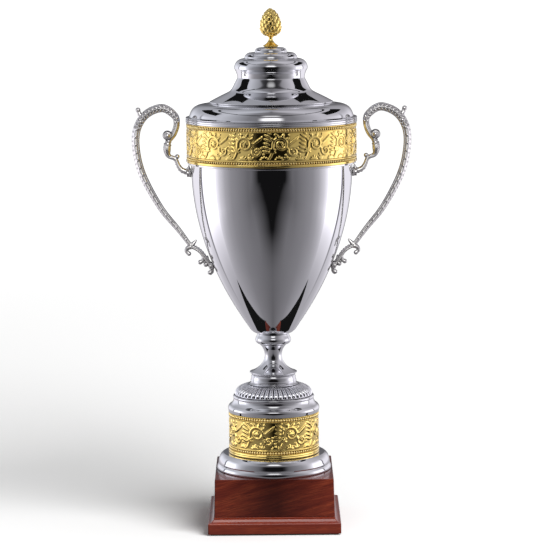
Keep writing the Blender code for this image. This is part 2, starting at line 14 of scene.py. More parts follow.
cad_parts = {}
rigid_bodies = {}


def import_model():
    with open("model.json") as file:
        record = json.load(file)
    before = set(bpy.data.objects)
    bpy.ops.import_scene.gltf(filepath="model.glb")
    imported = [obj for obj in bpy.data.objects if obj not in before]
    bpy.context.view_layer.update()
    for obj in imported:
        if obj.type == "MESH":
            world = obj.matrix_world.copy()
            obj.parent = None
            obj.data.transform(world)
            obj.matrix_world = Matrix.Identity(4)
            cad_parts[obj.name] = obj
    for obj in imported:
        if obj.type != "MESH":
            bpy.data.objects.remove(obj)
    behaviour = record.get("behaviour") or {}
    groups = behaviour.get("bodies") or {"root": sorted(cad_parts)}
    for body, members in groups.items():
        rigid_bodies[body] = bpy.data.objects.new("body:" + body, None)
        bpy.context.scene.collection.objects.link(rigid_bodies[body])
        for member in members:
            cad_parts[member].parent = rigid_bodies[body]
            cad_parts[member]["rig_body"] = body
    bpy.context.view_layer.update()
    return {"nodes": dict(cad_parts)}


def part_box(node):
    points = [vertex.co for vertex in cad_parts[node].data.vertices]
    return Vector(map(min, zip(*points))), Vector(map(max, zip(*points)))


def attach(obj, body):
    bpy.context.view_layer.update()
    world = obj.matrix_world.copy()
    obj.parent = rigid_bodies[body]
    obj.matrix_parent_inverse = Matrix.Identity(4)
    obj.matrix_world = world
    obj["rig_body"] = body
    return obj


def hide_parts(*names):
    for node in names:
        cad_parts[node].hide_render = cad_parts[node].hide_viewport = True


MM = 0.001
ARC_STEP = math.radians(7)
CURVE_STEP = 1.8
EDGE_RADIUS = 0.35
SHARP_TURN = math.radians(18)
SUPPORT = 0.3
LONG_RUN = 2.6
SIDES = 288
ROD_HOLE = 4.3
SHEET = 1.2

PERIOD = 41.43
COLUMNS = 72
ROW_STEP = 0.6
FIELD_HALF = 16.5
STROKE_STEP = 0.35
BEAD_PITCH = 3.14
BEAD_BORDER = 5.2

FINIAL_VOXEL = 0.26
HANDLE_VOXEL = 0.42
GOLDEN_ANGLE = math.pi * (3 - math.sqrt(5))

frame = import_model()


# ---- outlines


def arc_points(start, end, bulge):
    """The points of an arc after its start, where bulge is the tangent of a quarter of its angle."""
    angle = 4 * math.atan(bulge)
    steps = max(3, math.ceil(abs(angle) / ARC_STEP))
    chord = end - start
    centre = (start + end) / 2 + Vector((-chord.y, chord.x)) * (1 - bulge**2) / (4 * bulge)
    spoke = start - centre
    turns = (Matrix.Rotation(angle * step / steps, 2) for step in range(1, steps))
    return [centre + turn @ spoke for turn in turns] + [end]


def bezier_points(start, pull, push, end):
    """The points of a cubic curve after its start."""
    length = (pull - start).length + (push - pull).length + (end - push).length
    steps = max(6, round(length / CURVE_STEP))
    points = []
    for step in range(1, steps + 1):
        t = step / steps
        s = 1 - t
        points.append(s**3 * start + 3 * s * s * t * pull + 3 * s * t * t * push + t**3 * end)
    return points


def trace(*marks):
    """An outline through corners (r, z), arcs to a corner (r, z, bulge) and curves (pull, push, r, z)."""
    points = []
    for mark in marks:
        if isinstance(mark[0], tuple):
            points += bezier_points(points[-1], Vector(mark[0]), Vector(mark[1]), Vector(mark[2:]))
        elif len(mark) == 3:
            points += arc_points(points[-1], Vector(mark[:2]), mark[2])
        else:
            points.append(Vector(mark))
    return points


def rows_of(points):
    """Points as the rows of an array."""
    return np.array([tuple(point) for point in points])


def ease(points, radius=EDGE_RADIUS):
    """A closed outline with its corners rounded and a point near each end of its long straight runs."""
    rounded = []
    for before, corner, after in zip(points[-1:] + points[:-1], points, points[1:] + points[:1]):
        back = before - corner
        ahead = after - corner
        turn = math.pi - back.angle(ahead, math.pi)
        if turn < SHARP_TURN:
            rounded.append(corner)
            continue
        reach = min(radius * math.tan(turn / 2), 0.4 * back.length, 0.4 * ahead.length)
        start = corner + back.normalized() * reach
        end = corner + ahead.normalized() * reach
        steps = max(2, math.ceil(turn / math.radians(20)))
        for step in range(steps + 1):
            t = step / steps
            rounded.append((1 - t) ** 2 * start + 2 * t * (1 - t) * corner + t * t * end)
    held = []
    for start, end in zip(rounded, rounded[1:] + rounded[:1]):
        held.append(start)
        run = end - start
        if run.length > LONG_RUN:
            inset = run.normalized() * SUPPORT
            held += [start + inset, end - inset]
    return rows_of(held)


# ---- meshes


def mesh_of(name, vertices, faces):
    mesh = bpy.data.meshes.new(name)
    faces = faces.tolist() if isinstance(faces, np.ndarray) else faces
    mesh.from_pydata(np.asarray(vertices, float).tolist(), [], faces)
    return mesh


def placed(name, data):
    """A new object in the scene that shows a mesh, a lamp or a camera."""
    made = bpy.data.objects.new(name, data)
    bpy.context.scene.collection.objects.link(made)
    return made


def add(name, vertices, faces, material, body, slot):
    """A smooth mesh piece, drawn in millimetres, riding on a CAD body."""
    mesh = mesh_of(name, np.asarray(vertices, float) * MM, faces)
    mesh.shade_smooth()
    mesh.materials.append(material)
    piece = placed(name, mesh)
    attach(piece, body)
    return piece


def dress(node, vertices, faces, material, slot):
    """A mesh piece in place of a CAD node, on the node's own body."""
    piece = add(node + "_visual", vertices, faces, material, frame["nodes"][node]["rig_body"], slot)
    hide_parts(node)


def strips(rows, columns, closed=True):
    """The four-sided faces between rows of points, where each row may close on itself."""
    here = np.arange(rows - 1)[:, None] * columns
    k = np.arange(columns if closed else columns - 1)[None]
    m = (k + 1) % columns
    return np.stack([here + k, here + m, here + columns + m, here + columns + k], -1).reshape(-1, 4)


def capped(rows, columns):
    """The faces of a tube of closed rows, with a cap on each end."""
    last = (rows - 1) * columns
    return strips(rows, columns).tolist() + [list(range(columns))[::-1], [last + k for k in range(columns)]]


def spun(outlines):
    """The closed skin through one outline (radius, height) for each of many equal turns round the axis."""
    sides, count = outlines.shape[:2]
    angle = (2 * np.pi * np.arange(sides) / sides)[:, None]
    radius = outlines[..., 0]
    vertices = np.stack([radius * np.cos(angle), radius * np.sin(angle), outlines[..., 1]], -1)
    here = np.arange(sides)[:, None] * count
    there = (np.arange(sides) + 1)[:, None] % sides * count
    row = np.arange(count)[None]
    above = (np.arange(count) + 1)[None] % count
    faces = np.stack([here + row, there + row, there + above, here + above], -1)
    return vertices.reshape(-1, 3), faces.reshape(-1, 4)


def bottom(node):
    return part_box(node)[0].z / MM


def compass(angle):
    """The level directions away from the axis and round it, at an angle."""
    return np.array([math.cos(angle), math.sin(angle), 0]), np.array([-math.sin(angle), math.cos(angle), 0])


def ellipsoid(centre, axes, around=12, up=8):
    """A closed ball squashed along three axes, given as vectors from its centre to its surface."""
    tilt = np.pi * np.arange(1, up) / up
    turn = 2 * np.pi * np.arange(around) / around
    ring = [np.outer(np.sin(tilt), np.cos(turn)), np.outer(np.sin(tilt), np.sin(turn))]
    ring = np.stack([*ring, np.outer(np.cos(tilt), np.ones(around))], -1).reshape(-1, 3)
    unit = np.vstack([[0, 0, 1], ring, [0, 0, -1]])
    vertices = np.asarray(centre, float) + unit @ np.asarray(axes, float)
    faces = []
    last = len(unit) - 1
    for k in range(around):
        m = (k + 1) % around
        faces.append([0, 1 + k, 1 + m])
        faces.append([last, 1 + (up - 2) * around + m, 1 + (up - 2) * around + k])
        for j in range(up - 2):
            top = 1 + j * around
            low = top + around
            faces.append([top + k, low + k, low + m, top + m])
    return vertices, faces


def outward(vertices, faces):
    """The faces of a closed shape, turned round if they look inwards."""
    fans = np.array([(face[0], face[k], face[k + 1]) for face in faces for k in range(1, len(face) - 1)])
    first, second, third = (np.asarray(vertices, float)[fans[:, k]] for k in range(3))
    volume = (first * np.cross(second, third)).sum()
    return [face[::-1] for face in faces] if volume < 0 else faces


def merged(parts):
    """Many closed shapes (vertices, faces) as one, all facing outwards."""
    vertices = []
    faces = []
    count = 0
    for some, theirs in parts:
        theirs = outward(some, [list(face) for face in theirs])
        vertices.append(some)
        faces += [[corner + count for corner in face] for face in theirs]
        count += len(some)
    return np.vstack(vertices), faces


def fused(name, parts, voxel):
    """Closed shapes that overlap, made into one skin by a fine remesh and a light smoothing."""
    mesh = mesh_of(name, *merged(parts))
    lump = placed(name, mesh)
    remesh = lump.modifiers.new("remesh", "REMESH")
    remesh.mode = "VOXEL"
    remesh.voxel_size = voxel
    smooth = lump.modifiers.new("smooth", "SMOOTH")
    smooth.factor = 0.5
    smooth.iterations = 1
    bpy.context.view_layer.update()
    made = bpy.data.meshes.new_from_object(lump.evaluated_get(bpy.context.evaluated_depsgraph_get()))
    corners = np.empty(len(made.vertices) * 3, np.float32)
    made.vertices.foreach_get("co", corners)
    skin = [list(polygon.vertices) for polygon in made.polygons]
    bpy.data.objects.remove(lump)
    bpy.data.meshes.remove(mesh)
    bpy.data.meshes.remove(made)
    return corners.reshape(-1, 3).astype(float), skin


# ---- materials


class Paint:
    """A node material and short ways to add nodes to it."""

    def __init__(self, name):
        self.material = bpy.data.materials.new(name)
        self.material.use_nodes = True
        self.tree = self.material.node_tree

    def node(self, kind, inputs=(), **settings):
        made = self.tree.nodes.new(kind)
        for key, value in settings.items():
            setattr(made, key, value)
        for key, value in dict(inputs).items():
            if isinstance(value, bpy.types.NodeSocket):
                self.tree.links.new(value, made.inputs[key])
            else:
                made.inputs[key].default_value = value
        return made

    def maths(self, operation, *values):
        return self.node("ShaderNodeMath", enumerate(values), operation=operation).outputs[0]

    def span(self, value, low, high, start=0.0, end=1.0):
        ends = {"Value": value, "From Min": low, "From Max": high, "To Min": start, "To Max": end}
        return self.node("ShaderNodeMapRange", ends).outputs["Result"]

    def shows(self, shader):
        """Give the surface to another shader than the Principled one."""
        self.tree.links.new(shader.outputs[0], self.tree.nodes["Material Output"].inputs["Surface"])


class Shader(Paint):
    """A Principled material."""

    def __init__(self, name, metallic, roughness, **sockets):
        super().__init__(name)
        self.surface = self.tree.nodes["Principled BSDF"]
        for socket, value in {"Metallic": metallic, "Roughness": roughness, **sockets}.items():
            self.surface.inputs[socket.replace("_", " ")].default_value = value

    def place(self, scale=(1, 1, 1), turn=(0, 0, 0)):
        spot = self.node("ShaderNodeTexCoord").outputs["Object"]
        inputs = {"Vector": spot, "Scale": scale, "Rotation": turn}
        return self.node("ShaderNodeMapping", inputs).outputs["Vector"]

    def grain(self, scale, slant):
        """Coordinates turned by a slant and then stretched."""
        turned_place = self.place(turn=(0, slant, 0))
        return self.node("ShaderNodeMapping", {"Vector": turned_place, "Scale": scale}).outputs["Vector"]

    def noise(self, where, scale, detail=3.0, rough=0.55, distortion=0.0):
        inputs = {"Scale": scale, "Detail": detail, "Roughness": rough, "Distortion": distortion}
        return self.node("ShaderNodeTexNoise", {"Vector": where, **inputs}).outputs["Fac"]

    def ramp(self, value, *stops):
        made = self.node("ShaderNodeValToRGB", {"Fac": value})
        elements = made.color_ramp.elements
        while len(elements) < len(stops):
            elements.new(1.0)
        for element, (position, colour) in zip(elements, stops):
            element.position = position
            element.color = (*colour, 1)
        return made.outputs["Color"]

    def blend(self, amount, one, other, kind="MIX"):
        one, other = (c if isinstance(c, bpy.types.NodeSocket) else (*c, 1) for c in (one, other))
        inputs = {0: amount, 6: one, 7: other}
        return self.node("ShaderNodeMix", inputs, data_type="RGBA", blend_type=kind).outputs[2]

    def drive(self, socket, value):
        self.tree.links.new(value, self.surface.inputs[socket])

    def bump(self, height, strength, distance):
        made = self.node("ShaderNodeBump", {"Height": height, "Strength": strength, "Distance": distance})
        self.drive("Normal", made.outputs["Normal"])


RECESS = 0.0022


def polished_plate(name, light, dark, low_rough, high_rough, ripple):
    """Bright plate: faint clouding, fine polishing lines round the axis and a slightly uneven sheet."""
    plate = Shader(name, 1.0, low_rough)
    clouds = plate.noise(plate.place(), 22, 4)
    plate.drive("Base Color", plate.ramp(clouds, (0.3, dark), (0.7, light)))
    lines = plate.noise(plate.place((1, 1, 60)), 24, 3, 0.6)
    plate.drive("Roughness", plate.span(lines, 0.3, 0.75, low_rough, high_rough))
    plate.bump(plate.noise(plate.place(), 9, 1), ripple, 0.0004)
    return plate.material


def cast_plate(name, light, dark, deep, low_rough, high_rough, grain, shade, flank_shade=None, edge_tint=1.0):
    """Plate over cast relief: smoother on high places, rougher in recesses, with painted shade darkening
    recesses and flanks.
    """
    plate = Shader(name, 1.0, low_rough, Specular_Tint=(edge_tint, edge_tint, edge_tint, 1.0))
    clouds = plate.noise(plate.place(), 60, 4)
    tone = plate.ramp(clouds, (0.3, dark), (0.72, light))
    # Painted shade: on the handles, the narrow sides of the bars, whose normals point away from the object's
    # y axis, take the darker flank colour; the broad faces keep the tone.
    if flank_shade:
        across = plate.node("ShaderNodeTexCoord").outputs["Normal"]
        depth = plate.node("ShaderNodeSeparateXYZ", {"Vector": across}).outputs["Y"]
        tone = plate.blend(plate.span(plate.maths("ABSOLUTE", depth), 0.25, 0.75), flank_shade, tone)
    # Painted shade: recesses (ambient occlusion within a few millimetres) and creases (low pointiness) take
    # the dark deep colour instead of the plate's tone.
    open_sky = plate.node("ShaderNodeAmbientOcclusion", {"Distance": RECESS}, samples=4).outputs["AO"]
    edge = plate.node("ShaderNodeNewGeometry").outputs["Pointiness"]
    raised = plate.maths("MULTIPLY", plate.span(open_sky, *shade), plate.span(edge, 0.44, 0.5))
    plate.drive("Base Color", plate.blend(raised, deep, tone))
    plate.drive("Roughness", plate.span(raised, 0.0, 1.0, high_rough, low_rough))
    plate.bump(plate.noise(plate.place(), 900, 3, 0.6), grain, 0.00015)
    return plate.material


def hardwood(name, tones, slant, gloss, shaded_middle):
    """Varnished straight-grained hardwood with pores, darker growth streaks, a clear gloss coat, and painted
    shade darkening the middle of each face.
    """
    wood = Shader(
        name, 0.0, 0.42, Coat_Weight=gloss, Coat_Roughness=0.05, Coat_IOR=1.5, Specular_IOR_Level=0.15
    )
    broad = wood.noise(wood.grain((1.8, 12, 26), slant), 7, 5, 0.6, 0.5)
    fine = wood.noise(wood.grain((7, 90, 170), slant), 9, 4, 0.65)
    base = wood.ramp(broad, (0.28, tones[0]), (0.48, tones[1]), (0.62, tones[2]), (0.78, tones[1]))
    streaked = wood.blend(wood.span(fine, 0.35, 0.7, 0.0, 0.7), tones[0], base)
    pores = wood.noise(wood.grain((12, 150, 260), slant), 11, 2, 0.5)
    open_pore = wood.span(pores, 0.62, 0.72)
    grained = wood.blend(open_pore, streaked, [0.45 * v for v in tones[0]])
    # Painted shade: the colour darkens towards the middle of each face, near the planes x = 0 and y = 0, with
    # a noisy edge.
    spot = wood.node("ShaderNodeSeparateXYZ", {"Vector": wood.node("ShaderNodeTexCoord").outputs["Object"]})
    middle = wood.maths("MINIMUM", *(wood.maths("ABSOLUTE", spot.outputs[axis]) for axis in "XY"))
    wander = wood.noise(wood.place(), 14, 2)
    shade_share = wood.span(wood.maths("MULTIPLY_ADD", wander, 0.015, middle), 0.012, 0.072, shaded_middle, 1.0)
    shade_tone = wood.ramp(shade_share, (0.0, (0, 0, 0)), (1.0, (1, 1, 1)))
    wood.drive("Base Color", wood.blend(1.0, grained, shade_tone, "MULTIPLY"))
    wood.drive("Roughness", wood.span(fine, 0.3, 0.8, 0.34, 0.5))
    wood.bump(wood.span(pores, 0.6, 0.74, 1.0, 0.0), 0.12, 0.0001)
    return wood.material


def cloth(name, dark, light):
    """Close felt: matted fibres, with a soft sheen."""
    felt = Shader(name, 0.0, 0.95, Sheen_Weight=0.4, Sheen_Roughness=0.6)
    mat = felt.noise(felt.place((1, 1, 3)), 900, 5, 0.7)
    felt.drive("Base Color", felt.ramp(mat, (0.3, dark), (0.7, light)))
    felt.bump(mat, 0.5, 0.0003)
    return felt.material


def zinc(name):
    """Zinc-plated hardware: dull turned metal with spangled clouding."""
    steel = Shader(name, 1.0, 0.35)
    spangle = steel.noise(steel.place(), 260, 4, 0.6)
    steel.drive("Base Color", steel.ramp(spangle, (0.3, (0.34, 0.35, 0.37)), (0.7, (0.56, 0.57, 0.59))))
    steel.drive("Roughness", steel.span(spangle, 0.3, 0.7, 0.28, 0.46))
    steel.bump(steel.noise(steel.place((1, 1, 30)), 300, 2), 0.1, 0.0001)
    return steel.material


CHROME = polished_plate("chrome_plate", (0.80, 0.80, 0.82), (0.76, 0.76, 0.785), 0.02, 0.05, 0.03)
# Painted shade: the third colour of each cast plate below darkens its recesses and creases.
GOLD = cast_plate(
    "gold_relief", (1.0, 0.77, 0.27), (0.96, 0.69, 0.20), (0.28, 0.16, 0.035), 0.06, 0.20, 0.10, (0.25, 0.70)
)
# Painted shade: the silver's grey (0.20, 0.195, 0.195) darkens the narrow sides of the handle bars.
SILVER = cast_plate(
    "cast_silver_plate", (0.92, 0.90, 0.89), (0.82, 0.80, 0.79), (0.14, 0.13, 0.13), 0.24, 0.42, 0.15,
    (0.50, 0.95), (0.20, 0.195, 0.195), 0.25,
)
BEADED = cast_plate(
    "gold_beads", (1.0, 0.82, 0.38), (1.0, 0.74, 0.27), (0.70, 0.46, 0.14), 0.10, 0.20, 0.05, (0.05, 0.30)
)
LOBED = cast_plate(
    "chrome_lobes", (0.97, 0.97, 0.99), (0.90, 0.90, 0.94), (0.05, 0.05, 0.06), 0.10, 0.22, 0.02, (0.36, 0.72)
)
STEEL = zinc("zinc_hardware")
# The last argument of each wood sets how dark the painted shade gets in the middle of each face.
RED_BROWN = ((0.10, 0.011, 0.006), (0.27, 0.040, 0.016), (0.44, 0.085, 0.030))
WOOD = hardwood("varnished_mahogany", RED_BROWN, 0.24, 0.7, 0.30)
EVEN_BROWN = ((0.13, 0.014, 0.006), (0.24, 0.036, 0.014), (0.36, 0.068, 0.024))
BOARD = hardwood("mahogany_moulding", EVEN_BROWN, 0.05, 0.9, 0.9)
FELT = cloth("felt_underlay", (0.010, 0.022, 0.014), (0.045, 0.080, 0.055))


# ---- turned chrome


def turned(node, *marks, sides=SIDES):
    """A turned and polished piece in place of a CAD node, from its outline above the node's underside."""
    outline = ease(trace(*marks))
    outline[:, 1] += bottom(node)
    dress(node, *spun(np.repeat(outline[None], sides, axis=0)), CHROME, "chrome")


FOOT_TOP = 19.5
turned(
    "foot_ring", (67.6, 0), (67.9, 1.6), (66.6, 5.8, 0.12), (65.8, 6.7), (66.2, 8.0),
    ((65.8, 12.5), (64.6, 17.6), 60.0, FOOT_TOP), (ROD_HOLE, FOOT_TOP), (ROD_HOLE, FOOT_TOP - SHEET),
    (59.6, FOOT_TOP - SHEET), (63.6, 13.0), (64.4, 6.7), (66.0, 0),
)

turned("drum", (51.0, 0), (52.2, 0), (52.2, 48.8), (51.0, 48.8), sides=192)

CAP_TOP = 19.6
turned(
    "drum_cap", (52.2, 0), (53.5, 0), (54.2, 3.6), (51.2, 8.8, 0.32), (47.3, 15.8, -0.22),
    (47.0, CAP_TOP, 0.5), (ROD_HOLE, CAP_TOP), (ROD_HOLE, CAP_TOP - SHEET), (45.6, CAP_TOP - SHEET),
    (45.9, 15.4), (49.8, 7.8), (52.8, 3.4),
)

turned(
    "neck_ring", (29.2, 0), (29.8, 1.0), (26.6, 2.8, -0.2), (26.9, 5.2, 0.3), (26.3, 9.2, -0.12),
    (25.4, 11.4), (ROD_HOLE, 11.4), (ROD_HOLE, 0),
)

turned(
    "stem", (25.4, 0), (28.0, 2.5), (28.0, 3.2), ((17.0, 6.5), (10.1, 14.5), 10.1, 22.4),
    ((10.1, 28.5), (13.0, 33.5), 16.2, 36.0), (ROD_HOLE, 36.0), (ROD_HOLE, 0),
)

turned(
    "stem_knop", (16.4, 0), (21.2, 5.0, 0.35), ((21.2, 8.0), (19.2, 9.0), 18.4, 12.4), (ROD_HOLE, 12.4),
    (ROD_HOLE, 0),
)

BOWL_HEIGHT = 254.8
BAND_SEAT = 204.2
WALL_FOOT = (27.2, 5.8)
WALL = ((35.0, 18.5), (95.3, 95.9), 94.5, BAND_SEAT - 3.0)
turned(
    "bowl", (ROD_HOLE, 0), (18.5, 0), (*WALL_FOOT, 0.18), WALL, (98.6, BAND_SEAT - 2.2),
    (98.6, BAND_SEAT - 0.3), (98.2, BAND_SEAT - 0.3), (98.2, BOWL_HEIGHT), (97.0, BOWL_HEIGHT),
    (97.0, BAND_SEAT - 0.8), (93.2, BAND_SEAT - 2.4), ((94.1, 96.2), (33.9, 19.3), 25.6, 6.9), (17.5, 1.6),
    (ROD_HOLE, 1.6),
)

turned("bowl_rim_ring", (98.5, 0), (99.6, 0), (100.0, 2.5, 0.4), (99.6, 5.0, 0.4), (98.5, 5.0))

SEAM = 17.8
turned(
    "lid_dome", (94.4, 0), (99.9, 0), (99.9, 1.2, 0.7), (96.3, 2.0),
    ((92.0, 19.8), (79.0, 14.8), 72.4, SEAM), (58.0, SEAM), (58.0, SEAM - SHEET), (71.6, SEAM - SHEET),
    ((78.8, 13.2), (90.6, 18.4), 94.4, 2.4),
)

CROWN_TOP = 63.6
turned(
    "lid_crown", (69.0, 0), (72.3, 0), (72.3, 0.9), ((41.9, 17.8), (50.4, 7.7), 39.3, 28.8),
    (42.9, 39.3, -0.12), (34.0, 50.9, 0.4), (31.0, 51.4), (30.8, 52.9), (23.0, 57.9, 0.36), (18.9, 58.2),
    (18.7, 60.0), (13.0, CROWN_TOP, 0.36), (3.0, CROWN_TOP), (3.0, CROWN_TOP - SHEET),
    (12.0, CROWN_TOP - SHEET), (17.0, 56.8), (33.0, 49.4), (41.4, 39.0), (37.8, 28.6),
    ((42.0, 16.2), (52.0, 7.4), 69.0, 0),
)

LOCATING_HEIGHT = (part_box("lid_locating_ring")[1].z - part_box("lid_locating_ring")[0].z) / MM
turned("lid_locating_ring", (95.2, 0), (96.4, 0), (96.4, LOCATING_HEIGHT), (95.2, LOCATING_HEIGHT))


# ---- gadrooned dome

LOBES = 48
LOBE_COLUMNS = 16
LOBE_DEPTH = 3.1
DOME_TOP = 12.2


def gadrooned():
    outline = ease(
        trace(
            (41.6, 0), (45.6, 0), (46.2, 1.2), ((45.4, 7.6), (40.0, 11.2), 30.0, DOME_TOP),
            (ROD_HOLE, DOME_TOP), (ROD_HOLE, DOME_TOP - SHEET), (29.0, DOME_TOP - SHEET), (36.4, 7.0),
            (41.0, 2.4),
        )
    )
    facing = np.roll(outline, -1, 0) - np.roll(outline, 1, 0)
    facing = np.stack([facing[:, 1], -facing[:, 0]], -1) / np.linalg.norm(facing, axis=1)[:, None]
    lobed = np.clip((outline[:, 0] - 31.5) / 4.5, 0, 1) * (facing[:, 1] > -0.2) * (facing @ [1, 1] > 0.1)
    across = (np.arange(LOBES * LOBE_COLUMNS) % LOBE_COLUMNS) / LOBE_COLUMNS * 2 - 1
    sunk = LOBE_DEPTH * (1 - np.sqrt(1 - 0.99 * across**2))
    outlines = outline[None] - (sunk[:, None] * lobed[None])[..., None] * facing[None]
    outlines[..., 1] += bottom("gadroon_dome")
    dress("gadroon_dome", *spun(outlines), LOBED, "chrome")


gadrooned()


# ---- gold bands


def stroke(path, widths, peak, vein):
    """A raised stroke: its line, its half widths along it, its height, and how deep a vein runs along it."""
    path = np.asarray(path, float)
    gaps = np.linalg.norm(np.diff(path, axis=0), axis=1)
    along = np.concatenate([[0], np.cumsum(gaps)])
    count = max(4, int(along[-1] / STROKE_STEP))
    at = np.linspace(0, along[-1], count)
    widths = np.interp(np.linspace(0, 1, count), np.linspace(0, 1, len(widths)), widths)
    points = np.stack([np.interp(at, along, path[:, k]) for k in (0, 1)], -1)
    return points, widths, peak, vein


def leaf(root, angle, length, width, bend=0.5, peak=0.95):
    """A pointed leaf from its root, curling to one side, with a vein."""
    t = np.linspace(0, 1, 9)
    heading = angle + bend * t
    steps = np.stack([np.cos(heading), np.sin(heading)], -1) * length / len(t)
    path = np.asarray(root, float) + np.cumsum(steps, axis=0) - steps[0]
    return stroke(path, width * np.array([0.45, 0.9, 1.0, 0.85, 0.55, 0.2]), peak, 0.45)


def dot(centre, radius, peak):
    return np.array([centre], float), np.array([radius], float), peak, 0.0


def curl(centre, start, turns, wide, narrow):
    """Points of a spiral round a centre, from an angle and a sweep in half turns and from two radii."""
    angle = np.pi * np.linspace(start, start + turns, 60)
    reach = np.linspace(wide, narrow, 60)[:, None]
    return np.asarray(centre, float) + np.stack([np.cos(angle), np.sin(angle)], -1) * reach


def flower(centre, petals, length, width, turn):
    drawn = [dot(centre, 1.5, 1.25)]
    for petal in range(petals):
        angle = turn + 2 * np.pi * petal / petals
        root = np.asarray(centre, float) + [np.cos(angle), np.sin(angle)]
        drawn.append(leaf(root, angle, length, width, 0.25, 1.1))
    return drawn


def scroll_ornament():
    """One period of scroll foliage: a stalk with a flower, a curling branch and fans of ribbed leaves."""
    eye = np.array([21.0, 2.6])
    branch = curl(eye, 1.0, -2.35, 9.0, 3.6)
    stalk = rows_of(trace((6.5, -15.2), ((11.0, -10.5), (12.0, -4.0), 12.0, 2.6)))[1:]
    marks = [stroke(np.vstack([stalk, branch]), [1.2, 1.3, 1.5, 1.5, 1.2, 0.9], 1.15, 0.35)]
    marks += flower((11.2, -4.6), 6, 3.8, 1.45, 0.4) + flower(eye, 6, 2.9, 1.25, 0.0)
    for k, angle in enumerate(np.pi * np.array([0.86, 0.66, 0.46, 0.26, 0.06, -0.14])):
        root = eye + (9.4 - 0.5 * k) * np.array([np.cos(angle), np.sin(angle)])
        marks.append(leaf(root, angle - 0.75, 5.6, 1.5, 0.8))
    for k in range(6):
        marks.append(leaf([9.4 - 0.5 * k, 15.0 - 4.3 * k], 2.55 + 0.05 * k, 8.2, 1.35, 0.12))
    marks.append(stroke(curl((35.0, -5.6), 0.9, 1.9, 5.6, 2.4), [1.0, 1.3, 0.9], 1.1, 0.3))
    marks.append(dot((35.0, -5.6), 1.5, 1.2))
    for k in range(4):
        marks.append(leaf([31.2 + 2.3 * k, 2.4 + 1.5 * k], 0.95 + 0.06 * k, 7.6, 1.3, -0.25))
    for foot, count in ((2.0, 5), (19.0, 5), (28.0, 3)):
        for k in range(count):
            fan = k - (count - 1) / 2
            root = (foot + 0.5 * fan, -15.6)
            marks.append(leaf(root, np.pi / 2 - 0.55 * fan, 5.8 - 0.5 * abs(fan), 1.3, -0.25 * fan))
    for x, y in ((30.4, 13.6), (14.6, 14.2), (26.4, -9.4), (40.2, -1.4), (1.4, -8.6)):
        marks.append(dot((x, y), 1.15, 1.1))
    across = (np.arange(COLUMNS) * PERIOD / COLUMNS)[:, None]
    up = np.linspace(-FIELD_HALF, FIELD_HALF, round(2 * FIELD_HALF / ROW_STEP) + 1)[None]
    height = np.zeros((across.shape[0], up.shape[1]))
    for points, widths, peak, vein in marks:
        for shift in (-PERIOD, 0, PERIOD):
            for (x, y), width in zip(points, widths):
                distance = np.hypot(across - x - shift, up - y)
                dome = np.sqrt(np.clip(1 - (distance / width) ** 2, 0, 1)) ** 0.8
                cut = 1 - vein * np.exp(-((distance / 0.33) ** 2))
                height = np.maximum(height, peak * dome * cut)
    return up[0], height


def bead_row(radius, level, count, half_width, half_height, proud):
    parts = []
    for k in range(count):
        out, along = compass(2 * math.pi * (k + 0.5) / count)
        centre = radius * out + [0, 0, level]
        parts.append(ellipsoid(centre, (along * half_width, out * proud, (0, 0, half_height)), 8, 6))
    return parts


def gold_band(node, inner, field, repeats, height, lip, border, edge):
    """A rolled ornament strip: a moulded lip, beads, the scroll field in relief, and taller beads above."""
    low = bottom(node)
    levels, relief = scroll_ornament()
    stop = height - BEAD_BORDER
    rows = border + (levels + FIELD_HALF) / (2 * FIELD_HALF) * (stop - border)
    below = trace(
        (inner, 0), (edge - 0.3, 0), (edge, lip * 0.45, 0.3), (edge - 0.35, lip, 0.3),
        (field + 0.1, lip + 0.15),
    )
    crest = [(field + out, border - down) for out, down in ((0, 1.9), (0.7, 1.5), (0.85, 1.0), (0.7, 0.5))]
    above = [
        (field + 0.7, stop + 0.3), (field + 0.6, stop + 0.7), (field, stop + 0.9), (field, height - 0.9),
        (edge - 0.45, height - 0.8), (edge - 0.3, height - 0.4), (edge - 0.45, height), (inner, height),
    ]
    strip = rows_of(below + crest + [(field, z) for z in rows] + above)
    first = len(below) + len(crest)
    outlines = np.repeat(strip[None], repeats * COLUMNS, axis=0)
    fade = np.clip(np.minimum(rows - border, stop - rows) / 0.8, 0, 1)
    raised = np.tile(relief * fade, (repeats, 1)) * (edge - field - 0.1) / 1.2
    outlines[:, first : first + len(rows), 0] += raised
    outlines[..., 1] += low
    dress(node, *spun(outlines), GOLD, "gold_plate")
    count = round(2 * math.pi * field / BEAD_PITCH)
    parts = bead_row(field, low + height - 2.75, count, 1.35, 1.95, edge - field - 0.1)
    middle = low + (lip + border - 1.9) / 2
    parts += bead_row(field, middle, count, 1.25, (border - 2.0 - lip) / 2, edge - field - 0.2)
    add(node + "_beads", *merged(parts), BEADED, "root", "gold_plate")


gold_band("upper_gold_band", 98.5, 98.9, 15, 45.3, 3.0, 7.8, 100.05)
gold_band("lower_gold_band", 52.5, 52.7, 8, 48.8, 5.2, 10.9, 53.8)


# ---- finial

CONE_SCALES = 68
FINIAL_TOP = 45.1
SCALE_LEAN = math.radians(15)


